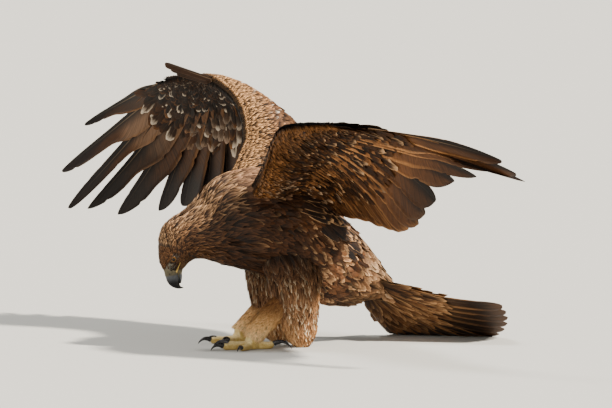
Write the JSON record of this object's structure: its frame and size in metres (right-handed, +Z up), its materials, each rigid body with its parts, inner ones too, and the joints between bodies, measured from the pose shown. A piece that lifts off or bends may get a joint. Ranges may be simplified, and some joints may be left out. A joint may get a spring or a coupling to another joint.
{
  "type": "golden eagle figure",
  "caption": "Life-size still golden eagle, wings raised and spread, head bowed, tail fanned and resting on the floor.",
  "frame": {"origin": "on the floor, below the middle of the bird's outline as seen from above", "axes": "the bird faces -Y, its left side is +X, and +Z is up"},
  "size_m": [1.6598, 0.768, 0.5915],
  "materials": {
    "body_feathers": "soft brown feathers with paler edges",
    "flight_feathers": "dark brown stiff feathers with a slight gloss",
    "bill": "smooth dark horn",
    "eyes": "wet amber",
    "toes": "yellow scaled skin",
    "claws": "polished black horn"
  },
  "bodies": {
    "root": {"bill_lower": "bill", "bill_upper": "bill", "claw_left_hind": "claws", "claw_left_inner": "claws", "claw_left_middle": "claws", "claw_left_outer": "claws", "claw_right_hind": "claws", "claw_right_inner": "claws", "claw_right_middle": "claws", "claw_right_outer": "claws", "eye_left": "eyes", "eye_right": "eyes", "foot_left": "toes", "foot_right": "toes", "head": "body_feathers", "neck": "body_feathers", "tail": "flight_feathers", "tail_coverts": "body_feathers", "tarsus_left": "body_feathers", "tarsus_right": "body_feathers", "thigh_left": "body_feathers", "thigh_right": "body_feathers", "trunk": "body_feathers", "wing_left_alula": "flight_feathers", "wing_left_arm": "body_feathers", "wing_left_hand": "body_feathers", "wing_left_primaries": "flight_feathers", "wing_left_secondaries": "flight_feathers", "wing_left_tertials": "flight_feathers", "wing_right_alula": "flight_feathers", "wing_right_arm": "body_feathers", "wing_right_hand": "body_feathers", "wing_right_primaries": "flight_feathers", "wing_right_secondaries": "flight_feathers", "wing_right_tertials": "flight_feathers"}
  },
  "joints": []
}
